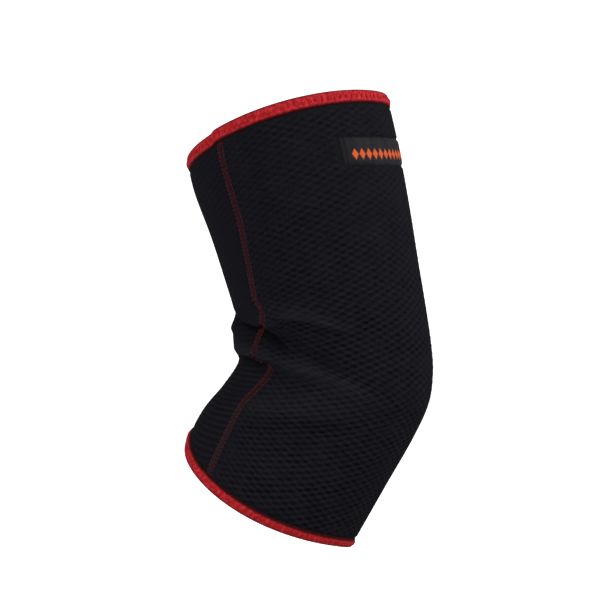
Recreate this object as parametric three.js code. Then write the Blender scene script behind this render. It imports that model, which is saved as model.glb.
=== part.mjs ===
// Knee support: a knitted sleeve in the shape it takes on a bent leg. Millimetres, +Z up.
// The origin is the middle of the knee. +X points forward through the kneecap and -Y is the label's side.
// Angles count round the leg in degrees: 0 at the front, 90 on the label's side, 180 behind the knee.
import * as THREE from "three";

const WALL = 3;
const PIECE_GAP = 0.35;
const SEAM_GAP = 0.5;

const TAPE_THICKNESS = 0.8;
const TOP_TAPE_WIDTH = 8.2;
const BOTTOM_TAPE_WIDTH = 6.3;
const TAPE_EDGE_ROUND = 1.2;
const PINCH_EACH_FACE = 0.7;
const PINCH_FADE = 2.5;

// The thigh edge peaks in front and steps down a little behind the seams. The shin edge reaches lower in
// front and less low behind, where its tape is wider. Spreads and steps are in degrees.
const TOP_FRONT_RISE = 1.8;
const TOP_FRONT_SPREAD = 30;
const BACK_RIM_DROP = 1.2;
const RIM_DROP_BEHIND_SEAM = 4;
const RIM_DROP_ANGLE = 4;
const BOTTOM_FRONT_DROP = 3.4;
const BOTTOM_FRONT_SPREAD = 28;
const BOTTOM_BACK_RISE = 3;
const BOTTOM_BACK_SPREAD = 16;
const BOTTOM_BACK_WIDENING = 0.4;
const BOTTOM_WIDENING_SPREAD = 32;

const LABEL_THICKNESS = 0.7;
const LABEL_HEIGHT = 16.6;
const LABEL_START_ANGLE = 68;
const LABEL_END_ANGLE = -6;
const LABEL_START_ROW = 0.95;
const LABEL_END_ROW = 0.81;
const LABEL_SAG_ROWS = 0.07;
const LABEL_COLUMNS = 16;
const LABEL_ROWS = 2;

const MAIN_COLUMNS = 26;
const BACK_COLUMNS = 8;

// Small steps over which directions and lengths on the smooth face are measured, in degrees and in rings.
const TURN_STEP = 0.5;
const NORMAL_STEP = 0.05;
const RIM_STEP = 0.2;
const LABEL_STEP = 0.5;

const MAIN_KNIT = { color: 0x18181c, roughness: 0.9 };
const BACK_KNIT = { color: 0x17161b, roughness: 0.85 };
const RED_TAPE = { color: 0xa82730, roughness: 0.7 };
const LABEL_WEAVE = { color: 0x2e2d32, roughness: 0.6 };

// A table is a list of column names and rows of numbers, and each row is read by its columns' names.
const table = (columns, rows) => rows.map(
  (row) => Object.fromEntries(columns.map((column, i) => [column, row[i]])));

// One ring per row, from the thigh edge down to the shin edge. The back and front points lie on the plane
// that halves the leg. sideRise lifts the ring's sides along the leg, and backFullness makes its back wider
// than its front.
const RINGS = table(
  ["backX", "backZ", "frontX", "frontZ", "halfDepth", "sideRise", "backFullness"],
  [
    [-100.8, 132, 27.2, 169.2, 64, 3.4, 0.05],
    [-96, 110.5, 34, 139, 64, 3, 0.05],
    [-85.4, 82, 41.1, 100, 62, 1, 0.05],
    [-76.5, 54.5, 46.6, 65.5, 60, 0, 0.05],
    [-71, 35.5, 51.5, 36, 59, 0, 0.05],
    [-71.6, 24.5, 54.7, 13.5, 58, 0, 0.06],
    [-70.9, 12.5, 55.7, -4, 58, 0, 0.06],
    [-68, 3.5, 53, -23, 58, 0, 0.08],
    [-77.5, -11.5, 43.1, -45, 59, -0.5, 0.12],
    [-90.3, -27, 26.8, -73.6, 60, -2, 0.18],
    [-102.4, -48.9, 5.4, -111.6, 61, -4.6, 0.31],
  ]);
const LAST_ROW = RINGS.length - 1;

// The seam's line from rim to rim. The folds behind the knee set it off sideways.
const SEAM_LINE = table(
  ["row", "angle"],
  [
    [0, 128],
    [1, 129],
    [2, 130.5],
    [3, 134.5],
    [3.68, 136.5],
    [3.92, 132.5],
    [4.4, 132],
    [5.05, 133],
    [5.35, 136],
    [5.9, 139],
    [6.35, 138],
    [6.8, 130],
    [7.2, 131.5],
    [8, 136],
    [8.6, 135.5],
    [9, 133],
    [LAST_ROW, 129],
  ]);

// One row per fold, alike on both sides of the leg. start and end are angles from the middle of the back.
// The three row columns place the fold's line, in rings, at its start, middle and end. height is outwards, in
// millimetres, and above and below are the half widths of its two flanks, in rings.
const FOLDS = table(
  ["fold", "start", "end", "rowStart", "rowMiddle", "rowEnd", "height", "above", "below"],
  [
    ["thigh roll", 45, 104, 3.82, 4.25, 4.8, 2.5, 0.3, 0.14],
    ["side valley", 20, 112, 5, 5.6, 6.75, -2.4, 0.8, 0.25],
    ["back roll", 0, 22, 4.85, 4.85, 4.85, 1.2, 0.3, 0.3],
    ["back tuck", 4, 50, 4.1, 4.95, 5.7, -3.2, 0.18, 0.2],
    ["seam bulge", 36, 64, 4.5, 4.5, 4.5, 1.8, 0.4, 0.3],
    ["upper crease", 0, 84, 3.95, 5.25, 6.05, -3.6, 0.18, 0.2],
    ["knee roll", 4, 90, 6.05, 5.65, 6.5, 3, 0.28, 0.42],
    ["knee ridge", 50, 118, 6.2, 6.6, 7.25, 2.4, 0.28, 0.5],
    ["knee crease", 3, 60, 7, 6.6, 6.9, -3.8, 0.14, 0.26],
    ["shin swell", 30, 112, 8.25, 7.85, 7.55, 1.7, 0.5, 0.28],
    ["shin valley", 30, 112, 9, 8.45, 8, -1.5, 0.22, 0.5],
    ["calf swell", 40, 125, 8.9, 9, 9.1, 0.6, 0.35, 0.5],
  ]);
const FOLD_FADE = 0.35;
const INNER_FOLLOW = 0.8;

// Facets along the sleeve, clear of the rims: each stretch ends at a ring row and is cut into equal steps,
// closer behind the knee.
const FIRST_FREE_ROW = 0.6;
const STRETCHES = table(
  ["toRow", "steps"],
  [
    [3.4, 5],
    [7.4, 34],
    [9.3, 7],
  ]);

// A ring's column, with one more ring past each end in line with the last two.
function ringValue(column, i) {
  if (i < 0) return 2 * RINGS[0][column] - RINGS[1][column];
  if (i > LAST_ROW) return 2 * RINGS[LAST_ROW][column] - RINGS[LAST_ROW - 1][column];
  return RINGS[i][column];
}

// A ring column at any row, on a smooth curve through the rings.
function onRings(column, row) {
  const start = THREE.MathUtils.clamp(Math.floor(row), 0, LAST_ROW - 1);
  const part = row - start;
  const [before, here, after, beyond] = [-1, 0, 1, 2].map((k) => ringValue(column, start + k));
  const linear = after - before;
  const square = 2 * before - 5 * here + 4 * after - beyond;
  const cube = 3 * here - before - 3 * after + beyond;
  return here + part * (linear + part * (square + part * cube)) / 2;
}

function seamAngle(row) {
  const next = SEAM_LINE.find((place, i) => i > 0 && place.row >= row) ?? SEAM_LINE.at(-1);
  const last = SEAM_LINE[SEAM_LINE.indexOf(next) - 1];
  const share = THREE.MathUtils.clamp((row - last.row) / (next.row - last.row), 0, 1);
  return THREE.MathUtils.lerp(last.angle, next.angle, share);
}

// A point of the smooth outer face, without folds.
function skinPoint(angle, row) {
  const backX = onRings("backX", row);
  const backZ = onRings("backZ", row);
  const halfX = (onRings("frontX", row) - backX) / 2;
  const halfZ = (onRings("frontZ", row) - backZ) / 2;
  const cos = Math.cos(THREE.MathUtils.degToRad(angle));
  const sin = Math.sin(THREE.MathUtils.degToRad(angle));
  const lift = onRings("sideRise", row) * sin * sin / Math.hypot(halfX, halfZ);
  const width = onRings("halfDepth", row) * (1 - onRings("backFullness", row) * cos);
  return new THREE.Vector3(
    backX + halfX * (1 + cos) - halfZ * lift,
    -width * sin,
    backZ + halfZ * (1 + cos) + halfX * lift);
}

function skinNormal(angle, row) {
  const round = skinPoint(angle + TURN_STEP, row).sub(skinPoint(angle - TURN_STEP, row));
  const along = skinPoint(angle, row + NORMAL_STEP).sub(skinPoint(angle, row - NORMAL_STEP));
  return round.cross(along).normalize();
}

function offSkin(angle, row, offset) {
  return skinPoint(angle, row).addScaledVector(skinNormal(angle, row), offset);
}

const blend = (value, from, to) => THREE.MathUtils.smoothstep(value, from, to);
const bell = (distance, spread) => Math.exp(-((distance / spread) ** 2));
const fromFront = (angle) => Math.abs(THREE.MathUtils.euclideanModulo(angle + 180, 360) - 180);
const fromBack = (angle) => 180 - fromFront(angle);

// How far the folds push the outer face outwards.
function foldHeight(angle, row) {
  let height = 0;
  for (const fold of FOLDS) {
    const part = (fromBack(angle) - fold.start) / (fold.end - fold.start);
    if (part < 0 || part > 1) continue;
    const line = (1 - part) * (1 - 2 * part) * fold.rowStart
      + 4 * part * (1 - part) * fold.rowMiddle
      + part * (2 * part - 1) * fold.rowEnd;
    const flank = row < line ? fold.above : fold.below;
    const fadeIn = fold.start === 0 ? 1 : blend(part, 0, FOLD_FADE);
    const fadeOut = 1 - blend(part, 1 - FOLD_FADE, 1);
    height += fold.height * fadeIn * fadeOut * bell(row - line, flank);
  }
  return height;
}

// The row that lies a distance in millimetres inside the finished thigh edge.
function rowFromTop(angle, distance) {
  const rowLength = skinPoint(angle, RIM_STEP).distanceTo(skinPoint(angle, 0)) / RIM_STEP;
  const step = seamAngle(0) + RIM_DROP_BEHIND_SEAM;
  const behind = blend(fromFront(angle), step - RIM_DROP_ANGLE / 2, step + RIM_DROP_ANGLE / 2);
  const rise = TOP_FRONT_RISE * bell(fromFront(angle), TOP_FRONT_SPREAD);
  return (distance + BACK_RIM_DROP * behind - rise) / rowLength;
}

// The row that lies a distance inside the finished shin edge.
function rowFromBottom(angle, distance) {
  const rowLength = skinPoint(angle, LAST_ROW).distanceTo(skinPoint(angle, LAST_ROW - RIM_STEP)) / RIM_STEP;
  const drop = BOTTOM_FRONT_DROP * bell(fromFront(angle), BOTTOM_FRONT_SPREAD);
  const rise = BOTTOM_BACK_RISE * bell(fromBack(angle), BOTTOM_BACK_SPREAD);
  const widening = 1 + BOTTOM_BACK_WIDENING * bell(fromBack(angle), BOTTOM_WIDENING_SPREAD);
  return LAST_ROW - (distance * widening - drop + rise) / rowLength;
}

// How much of the bindings' pinch the cloth feels at a row: 1 under the tape, 0 a little past it.
function pinchAt(angle, row) {
  const topEnd = rowFromTop(angle, TOP_TAPE_WIDTH);
  const topFree = rowFromTop(angle, TOP_TAPE_WIDTH + PINCH_FADE);
  const bottomEnd = rowFromBottom(angle, BOTTOM_TAPE_WIDTH);
  const bottomFree = rowFromBottom(angle, BOTTOM_TAPE_WIDTH + PINCH_FADE);
  return 1 - blend(row, topEnd, topFree) + blend(row, bottomFree, bottomEnd);
}

function outerFace(angle, row) {
  return offSkin(angle, row, foldHeight(angle, row) - PINCH_EACH_FACE * pinchAt(angle, row));
}

function innerFace(angle, row) {
  const follow = INNER_FOLLOW * foldHeight(angle, row);
  return offSkin(angle, row, follow - WALL + PINCH_EACH_FACE * pinchAt(angle, row));
}

// A closed geometry from a grid of points whose rows close on themselves. Open ends get flat caps.
function sweptGeometry(loops, closed) {
  const size = loops[0].length;
  const positions = loops.flat().flatMap((point) => point.toArray());
  const indices = [];
  const spans = closed ? loops.length : loops.length - 1;
  for (let i = 0; i < spans; i++) {
    const here = i * size;
    const next = ((i + 1) % loops.length) * size;
    for (let j = 0; j < size; j++) {
      const k = (j + 1) % size;
      indices.push(here + j, next + k, next + j);
      indices.push(here + j, here + k, next + k);
    }
  }
  if (!closed) {
    const half = size / 2;
    const last = (loops.length - 1) * size;
    for (let j = 0; j < half - 1; j++) {
      const opposite = size - 1 - j;
      indices.push(j, opposite - 1, j + 1);
      indices.push(j, opposite, opposite - 1);
      indices.push(last + j, last + j + 1, last + opposite - 1);
      indices.push(last + j, last + opposite - 1, last + opposite);
    }
  }
  const geometry = new THREE.BufferGeometry();
  geometry.setAttribute("position", new THREE.Float32BufferAttribute(positions, 3));
  geometry.setIndex(indices);
  geometry.computeVertexNormals();
  return geometry;
}

// The places of a panel's facets along the sleeve, each as a function that gives the row at an angle: the cut
// edges, the edges of the tapes and the ends of their pinch, and the stretches between.
function facetPlaces() {
  const cutInset = TAPE_THICKNESS + PIECE_GAP;
  const rimInsets = (width) => [cutInset, width, width + PINCH_FADE];
  const places = rimInsets(TOP_TAPE_WIDTH).map((inset) => (angle) => rowFromTop(angle, inset));
  places.push(() => FIRST_FREE_ROW);
  let from = FIRST_FREE_ROW;
  for (const { toRow, steps } of STRETCHES) {
    const start = from;
    for (let i = 1; i <= steps; i++) {
      places.push(() => THREE.MathUtils.lerp(start, toRow, i / steps));
    }
    from = toRow;
  }
  for (const inset of rimInsets(BOTTOM_TAPE_WIDTH).reverse()) {
    places.push((angle) => rowFromBottom(angle, inset));
  }
  return places;
}

// A panel between two seams. Each loop goes along the row on the outer face and back on the inner face.
function panelGeometry(columns, angleAt) {
  const loops = facetPlaces().map((rowAt) => {
    const outer = [];
    const inner = [];
    for (let i = 0; i <= columns; i++) {
      const share = i / columns;
      const nearRow = rowAt(angleAt(share, 0));
      const angle = angleAt(share, nearRow);
      const row = rowAt(angle);
      outer.push(outerFace(angle, row));
      inner.unshift(innerFace(angle, row));
    }
    return [...outer, ...inner];
  });
  return sweptGeometry(loops, false);
}

// Half the seam's gap as an angle, on a ring's mean radius.
const seamGapAngle = (row) => THREE.MathUtils.radToDeg(SEAM_GAP / 2 / onRings("halfDepth", row));
const mainEdge = (row) => seamAngle(row) - seamGapAngle(row);
const backEdge = (row) => seamAngle(row) + seamGapAngle(row);

const mainAngle = (share, row) => THREE.MathUtils.lerp(-mainEdge(row), mainEdge(row), share);
const backAngle = (share, row) => THREE.MathUtils.lerp(backEdge(row), 360 - backEdge(row), share);

// A binding is one tape folded over the rim. Its section counts along the sleeve from the finished edge, and
// outwards from the smooth outer face.
function bindingGeometry(width, rimRow, rowAt) {
  const liningOuter = PIECE_GAP - PINCH_EACH_FACE;
  const liningInner = PINCH_EACH_FACE - WALL - PIECE_GAP;
  const faceOuter = liningOuter + TAPE_THICKNESS;
  const faceInner = liningInner - TAPE_THICKNESS;
  const middle = -WALL / 2;
  const shoulder = TAPE_EDGE_ROUND / 3;
  const section = [
    [width, liningOuter], [width, faceOuter],
    [TAPE_EDGE_ROUND, faceOuter], [shoulder, faceOuter - TAPE_EDGE_ROUND / 2],
    [0, middle],
    [shoulder, faceInner + TAPE_EDGE_ROUND / 2], [TAPE_EDGE_ROUND, faceInner],
    [width, faceInner], [width, liningInner],
    [TAPE_THICKNESS, liningInner], [TAPE_THICKNESS, liningOuter],
  ];
  const angles = [];
  for (let i = 0; i < MAIN_COLUMNS; i++) {
    angles.push(mainAngle(i / MAIN_COLUMNS, rimRow));
  }
  for (let i = 0; i < BACK_COLUMNS; i++) {
    angles.push(backAngle(i / BACK_COLUMNS, rimRow));
  }
  const loops = angles.map((angle) => section.map(
    ([inset, offset]) => offSkin(angle, rowAt(angle, inset), offset)));
  return sweptGeometry(rimRow === 0 ? loops : loops.reverse(), true);
}

// The label is a flat patch sewn on the main panel, bent to its surface. Its edges sag in the middle.
function labelGeometry() {
  const loops = [];
  for (let j = 0; j <= LABEL_ROWS; j++) {
    const outer = [];
    const inner = [];
    for (let i = 0; i <= LABEL_COLUMNS; i++) {
      const share = i / LABEL_COLUMNS;
      const angle = THREE.MathUtils.lerp(LABEL_END_ANGLE, LABEL_START_ANGLE, share);
      const sag = 4 * LABEL_SAG_ROWS * share * (1 - share);
      const topRow = THREE.MathUtils.lerp(LABEL_END_ROW, LABEL_START_ROW, share) + sag;
      const below = skinPoint(angle, topRow + LABEL_STEP);
      const rowLength = below.distanceTo(skinPoint(angle, topRow)) / LABEL_STEP;
      const row = topRow + LABEL_HEIGHT / rowLength * j / LABEL_ROWS;
      outer.push(offSkin(angle, row, PIECE_GAP + LABEL_THICKNESS));
      inner.unshift(offSkin(angle, row, PIECE_GAP));
    }
    loops.push([...outer, ...inner]);
  }
  return sweptGeometry(loops, false);
}

function piece(name, geometry, { color, roughness }) {
  const material = new THREE.MeshStandardMaterial({ color, roughness, metalness: 0 });
  const mesh = new THREE.Mesh(geometry, material);
  mesh.name = name;
  return mesh;
}

const topBinding = bindingGeometry(TOP_TAPE_WIDTH, 0, rowFromTop);
const bottomBinding = bindingGeometry(BOTTOM_TAPE_WIDTH, LAST_ROW, rowFromBottom);

const support = new THREE.Group();
support.add(piece("main_panel", panelGeometry(MAIN_COLUMNS, mainAngle), MAIN_KNIT));
support.add(piece("back_panel", panelGeometry(BACK_COLUMNS, backAngle), BACK_KNIT));
support.add(piece("top_binding", topBinding, RED_TAPE));
support.add(piece("bottom_binding", bottomBinding, RED_TAPE));
support.add(piece("label", labelGeometry(), LABEL_WEAVE));

export default support;
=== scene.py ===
import bpy
import numpy as np
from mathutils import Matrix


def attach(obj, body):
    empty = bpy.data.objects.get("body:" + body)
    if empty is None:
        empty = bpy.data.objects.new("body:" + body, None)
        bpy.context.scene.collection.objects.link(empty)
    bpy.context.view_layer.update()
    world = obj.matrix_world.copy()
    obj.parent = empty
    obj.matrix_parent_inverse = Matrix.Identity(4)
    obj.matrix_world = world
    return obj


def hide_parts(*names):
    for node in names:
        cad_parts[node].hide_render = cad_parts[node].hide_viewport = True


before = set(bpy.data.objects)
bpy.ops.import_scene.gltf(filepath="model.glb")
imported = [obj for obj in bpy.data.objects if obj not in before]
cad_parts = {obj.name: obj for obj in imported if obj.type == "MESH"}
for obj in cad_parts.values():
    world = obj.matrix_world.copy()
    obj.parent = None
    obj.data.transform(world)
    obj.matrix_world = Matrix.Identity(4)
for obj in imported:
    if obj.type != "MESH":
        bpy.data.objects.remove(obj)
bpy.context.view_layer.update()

# Main panel
# The front and sides of the sleeve: a thick black knit with staggered rows of sunk eyelets, cut as one piece,
# bent round the kneecap and sewn to the back panel along both long edges. Its folds gather behind the knee.

MM = 0.001
WALL = 3.0
CUT_INSET = 1.3
TOP_TAPE_WIDTH = 8.2
BOTTOM_TAPE_WIDTH = 6.3
PINCH_EACH_FACE = 0.7
PINCH_FADE = 2.5
BACK_RIM_DROP = 1.2
RIM_DROP_BEHIND_SEAM = 4.0
RIM_DROP_ANGLE = 4.0
TOP_FRONT_RISE = 1.8
TOP_FRONT_SPREAD = 30.0
BOTTOM_FRONT_DROP = 3.4
BOTTOM_FRONT_SPREAD = 28.0
BOTTOM_BACK_RISE = 3.0
BOTTOM_BACK_SPREAD = 16.0
BOTTOM_BACK_WIDENING = 0.4
BOTTOM_WIDENING_SPREAD = 32.0

# One ring per row, from the thigh edge down to the shin edge, in millimetres. The back and front points lie
# on the plane that halves the leg.
RING_COLUMNS = ("back_x", "back_z", "front_x", "front_z", "half_depth", "side_rise", "back_fullness")
RINGS = np.array([
    [-100.8, 132.0, 27.2, 169.2, 64.0, 3.4, 0.05],
    [-96.0, 110.5, 34.0, 139.0, 64.0, 3.0, 0.05],
    [-85.4, 82.0, 41.1, 100.0, 62.0, 1.0, 0.05],
    [-76.5, 54.5, 46.6, 65.5, 60.0, 0.0, 0.05],
    [-71.0, 35.5, 51.5, 36.0, 59.0, 0.0, 0.05],
    [-71.6, 24.5, 54.7, 13.5, 58.0, 0.0, 0.06],
    [-70.9, 12.5, 55.7, -4.0, 58.0, 0.0, 0.06],
    [-68.0, 3.5, 53.0, -23.0, 58.0, 0.0, 0.08],
    [-77.5, -11.5, 43.1, -45.0, 59.0, -0.5, 0.12],
    [-90.3, -27.0, 26.8, -73.6, 60.0, -2.0, 0.18],
    [-102.4, -48.9, 5.4, -111.6, 61.0, -4.6, 0.31],
])
LAST_ROW = len(RINGS) - 1

# The seam's line from rim to rim, in ring rows and in degrees round from the front. The folds set it off
# sideways.
SEAM_LINE = np.array([
    [0, 128], [1, 129], [2, 130.5], [3, 134.5], [3.68, 136.5], [3.92, 132.5], [4.4, 132], [4.85, 132.5],
    [5.05, 133], [5.35, 136], [5.9, 139], [6.35, 138], [6.8, 130], [7.2, 131.5], [8, 136], [8.6, 135.5],
    [9, 133], [10, 129]])

# One fold per row, alike on both sides of the leg. Start and end are angles from the middle of the back. The
# row columns place the fold's line at its start, middle and end, height is in millimetres, and the last two
# columns are the half widths of its upper and lower flanks, in rings.
FOLD_COLUMNS = ("start", "end", "row_start", "row_middle", "row_end", "height", "above", "below")
FOLDS = {
    "thigh roll": (45, 104, 3.82, 4.25, 4.8, 2.5, 0.3, 0.14),
    "side valley": (20, 112, 5.0, 5.6, 6.75, -2.4, 0.8, 0.25),
    "back roll": (0, 22, 4.85, 4.85, 4.85, 1.2, 0.3, 0.3),
    "back tuck": (4, 50, 4.1, 4.95, 5.7, -3.2, 0.18, 0.2),
    "seam bulge": (36, 64, 4.5, 4.5, 4.5, 1.8, 0.4, 0.3),
    "upper crease": (0, 84, 3.95, 5.25, 6.05, -3.6, 0.18, 0.2),
    "knee roll": (4, 90, 6.05, 5.65, 6.5, 3.0, 0.28, 0.42),
    "knee ridge": (50, 118, 6.2, 6.6, 7.25, 2.4, 0.28, 0.5),
    "knee crease": (3, 60, 7.0, 6.6, 6.9, -3.8, 0.14, 0.26),
    "shin swell": (30, 112, 8.25, 7.85, 7.55, 1.7, 0.5, 0.28),
    "shin valley": (30, 112, 9.0, 8.45, 8.0, -1.5, 0.22, 0.5),
    "calf swell": (40, 125, 8.9, 9.0, 9.1, 0.6, 0.35, 0.5),
}
FOLD_FADE = 0.35
INNER_FOLLOW = 0.8
FOLD_HANG = 0.12
HANG_ROWS = (3.0, 4.2, 7.4, 8.6)
HANG_ANGLES = (55.0, 80.0)


def on_rings(column, row):
    """A ring column at any row, on a smooth curve through the rings."""
    values = RINGS[:, RING_COLUMNS.index(column)]
    values = np.concatenate([[2 * values[0] - values[1]], values, [2 * values[-1] - values[-2]]])
    start = np.clip(np.floor(row).astype(int), 0, LAST_ROW - 1)
    part = row - start
    before, here, after, beyond = (values[start + k] for k in range(4))
    linear = after - before
    square = 2 * before - 5 * here + 4 * after - beyond
    cube = 3 * here - before - 3 * after + beyond
    return 0.5 * (2 * here + linear * part + square * part ** 2 + cube * part ** 3)


def skin(angle, row):
    """Points of the smooth outer face, in metres. 0 degrees is in front, 90 the label's side, 180 behind."""
    turn = np.radians(angle)
    back_x, back_z = on_rings("back_x", row), on_rings("back_z", row)
    half_x = (on_rings("front_x", row) - back_x) / 2
    half_z = (on_rings("front_z", row) - back_z) / 2
    lift = on_rings("side_rise", row) * np.sin(turn) ** 2 / np.hypot(half_x, half_z)
    width = on_rings("half_depth", row) * (1 - on_rings("back_fullness", row) * np.cos(turn))
    x = back_x + half_x * (1 + np.cos(turn)) - half_z * lift
    z = back_z + half_z * (1 + np.cos(turn)) + half_x * lift
    return np.stack([x, -width * np.sin(turn), z], axis=-1) * MM


def unit(vectors):
    return vectors / np.linalg.norm(vectors, axis=-1, keepdims=True)


NORMAL_DEGREES = 0.5
NORMAL_ROWS = 0.05


def skin_normal(angle, row):
    around = skin(angle + NORMAL_DEGREES, row) - skin(angle - NORMAL_DEGREES, row)
    along = skin(angle, row + NORMAL_ROWS) - skin(angle, row - NORMAL_ROWS)
    return unit(np.cross(around, along))


def blend(value, start, end):
    """Rises smoothly from 0 at the start to 1 at the end."""
    part = np.clip((value - start) / (end - start), 0, 1)
    return part * part * (3 - 2 * part)


def bell(distance, width):
    """Falls smoothly from 1 at distance 0 to both sides."""
    return np.exp(-(distance / width) ** 2)


def from_front(angle):
    """Degrees round from the front, the same to both sides."""
    return np.abs(np.mod(angle + 180, 360) - 180)


def off_skin(angle, row, offset):
    """Points at a distance in millimetres outside the smooth outer face. Behind the knee the rolls hang down
    over the creases below them."""
    first, full, fading, last = HANG_ROWS
    hang = blend(row, first, full) * (1 - blend(row, fading, last))
    hang = FOLD_HANG * hang * (1 - blend(180 - from_front(angle), *HANG_ANGLES))
    row = row + hang * offset
    return skin(angle, row) + skin_normal(angle, row) * np.asarray(offset)[..., None] * MM


def seam_angle(row):
    return np.interp(row, SEAM_LINE[:, 0], SEAM_LINE[:, 1])


def each_fold(angle, row):
    """How far each of the folds pushes the outer face outwards, in millimetres."""
    from_back = 180 - from_front(angle)
    heights = []
    for numbers in FOLDS.values():
        fold = dict(zip(FOLD_COLUMNS, numbers))
        part = np.clip((from_back - fold["start"]) / (fold["end"] - fold["start"]), 0, 1)
        line = ((1 - part) * (1 - 2 * part) * fold["row_start"]
                + 4 * part * (1 - part) * fold["row_middle"]
                + part * (2 * part - 1) * fold["row_end"])
        flank = bell(row - line, np.where(row < line, fold["above"], fold["below"]))
        fade_in = blend(part, 0, FOLD_FADE) if fold["start"] else 1
        fade_out = 1 - blend(part, 1 - FOLD_FADE, 1)
        heights.append(fold["height"] * fade_in * fade_out * flank)
    return np.stack(heights)


def fold_height(angle, row):
    """How far all the folds together push the outer face outwards."""
    return each_fold(angle, row).sum(axis=0)


END_STEP = 0.2


def row_length(angle, row, step):
    """How many millimetres long a row is here, reckoned over a step of a row."""
    return np.linalg.norm(skin(angle, row + step) - skin(angle, row), axis=-1) / step / MM


def row_from_top(angle, distance):
    """The row that lies a distance in millimetres below the thigh edge, which peaks in front and sits lower
    on the back panel."""
    front = from_front(angle)
    start = seam_angle(0) + RIM_DROP_BEHIND_SEAM
    drop = BACK_RIM_DROP * blend(front, start - RIM_DROP_ANGLE / 2, start + RIM_DROP_ANGLE / 2)
    rise = TOP_FRONT_RISE * bell(front, TOP_FRONT_SPREAD)
    return (distance + drop - rise) / row_length(angle, angle * 0, END_STEP)


def row_from_bottom(angle, distance):
    """The row that lies a distance above the shin edge, which reaches lower in front and less low behind."""
    front = from_front(angle)
    drop = BOTTOM_FRONT_DROP * bell(front, BOTTOM_FRONT_SPREAD)
    rise = BOTTOM_BACK_RISE * bell(180 - front, BOTTOM_BACK_SPREAD)
    widening = 1 + BOTTOM_BACK_WIDENING * bell(180 - front, BOTTOM_WIDENING_SPREAD)
    scale = row_length(angle, angle * 0 + LAST_ROW - END_STEP, END_STEP)
    return LAST_ROW - (distance * widening - drop + rise) / scale


def tape_pinch(angle, row):
    """1 where a binding squeezes the cloth, fading to 0 a little past its edge."""
    top = blend(row, row_from_top(angle, TOP_TAPE_WIDTH), row_from_top(angle, TOP_TAPE_WIDTH + PINCH_FADE))
    bottom = blend(row, row_from_bottom(angle, BOTTOM_TAPE_WIDTH + PINCH_FADE),
                   row_from_bottom(angle, BOTTOM_TAPE_WIDTH))
    return 1 - top + bottom


FINE_ROWS = 401


def even_rows(angle, count):
    """Rows that cut the sleeve's line at this angle into equal lengths, from rim to rim."""
    fine = np.linspace(0, LAST_ROW, FINE_ROWS)
    line = skin(np.full_like(fine, angle), fine)
    length = np.concatenate([[0], np.cumsum(np.linalg.norm(np.diff(line, axis=0), axis=1))])
    return np.interp(np.linspace(0, length[-1], count + 1), length, fine)


def placed(name, data):
    """A new object in the scene."""
    piece = bpy.data.objects.new(name, data)
    bpy.context.scene.collection.objects.link(piece)
    return piece


def marked_mesh(name, points, edges, faces, marks):
    """A mesh whose points carry marks, each with a value or a vector for every point."""
    mesh = bpy.data.meshes.new(name)
    mesh.from_pydata(points.reshape(-1, 3).tolist(), edges, faces)
    for mark, values in marks.items():
        is_vector = values.size > len(mesh.vertices)
        kind, field = ("FLOAT_VECTOR", "vector") if is_vector else ("FLOAT", "value")
        data = mesh.attributes.new(mark, kind, "POINT").data
        data.foreach_set(field, values.ravel().astype(np.float32))
    mesh.shade_smooth()
    return mesh


INNER_STEP = 3


def wall_piece(name, outer, inner, uv, marks):
    """A closed wall from a fine outer grid and an inner grid with a third of its facets each way. Marks are
    values or vectors at the points of the outer grid."""
    rows, columns = outer.shape[:2]
    front = np.arange(rows * columns).reshape(rows, columns)
    rear = front.size + np.arange(inner.shape[0] * inner.shape[1]).reshape(inner.shape[:2])

    def quads(ids):
        corners = (ids[:-1, :-1], ids[:-1, 1:], ids[1:, 1:], ids[1:, :-1])
        return np.stack(corners, axis=-1).reshape(-1, 4).tolist()

    def strip(fine, coarse):
        faces = []
        for k in range(len(coarse) - 1):
            a, b, c, d = fine[INNER_STEP * k:INNER_STEP * (k + 1) + 1].tolist()
            near, far = int(coarse[k]), int(coarse[k + 1])
            faces += [(a, b, near), (b, c, far, near), (c, d, far)]
        return faces

    faces = quads(front) + quads(rear[:, ::-1])
    faces += strip(front[-1], rear[-1]) + strip(front[0, ::-1], rear[0, ::-1])
    faces += strip(front[:, 0], rear[:, 0]) + strip(front[::-1, -1], rear[::-1, -1])
    full_marks = {}
    for mark, values in marks.items():
        bare = np.zeros(values.size // front.size * rear.size)
        full_marks[mark] = np.concatenate([values.ravel(), bare])
    points = np.concatenate([outer.reshape(-1, 3), inner.reshape(-1, 3)])
    mesh = marked_mesh(name, points, [], faces, full_marks)
    spread_out = np.concatenate([uv.reshape(-1, 2), uv[::INNER_STEP, ::INNER_STEP].reshape(-1, 2)])
    corner_vertex = np.empty(len(mesh.loops), dtype=np.int32)
    mesh.loops.foreach_get("vertex_index", corner_vertex)
    corner_uv = spread_out[corner_vertex].ravel().astype(np.float32)
    mesh.uv_layers.new(name="cloth").data.foreach_set("uv", corner_uv)
    return placed(name, mesh)


class Wire:
    """A node's output, which can be reckoned with like a number or a vector."""

    def __init__(self, add, socket):
        self.add, self.socket = add, socket

    def maths(self, operation, other=0.0):
        return self.add("ShaderNodeMath", {0: self, 1: other}, operation=operation)

    def vector(self, operation, other=(0.0, 0.0, 0.0), out=0):
        return self.add("ShaderNodeVectorMath", {0: self, 1: other}, out, operation=operation)

    def scaled(self, scale):
        return self.add("ShaderNodeVectorMath", {0: self, "Scale": scale}, operation="SCALE")

    def __add__(self, other):
        return self.maths("ADD", other)

    def __sub__(self, other):
        return self.maths("SUBTRACT", other)

    def __mul__(self, other):
        return self.maths("MULTIPLY", other)


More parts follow.
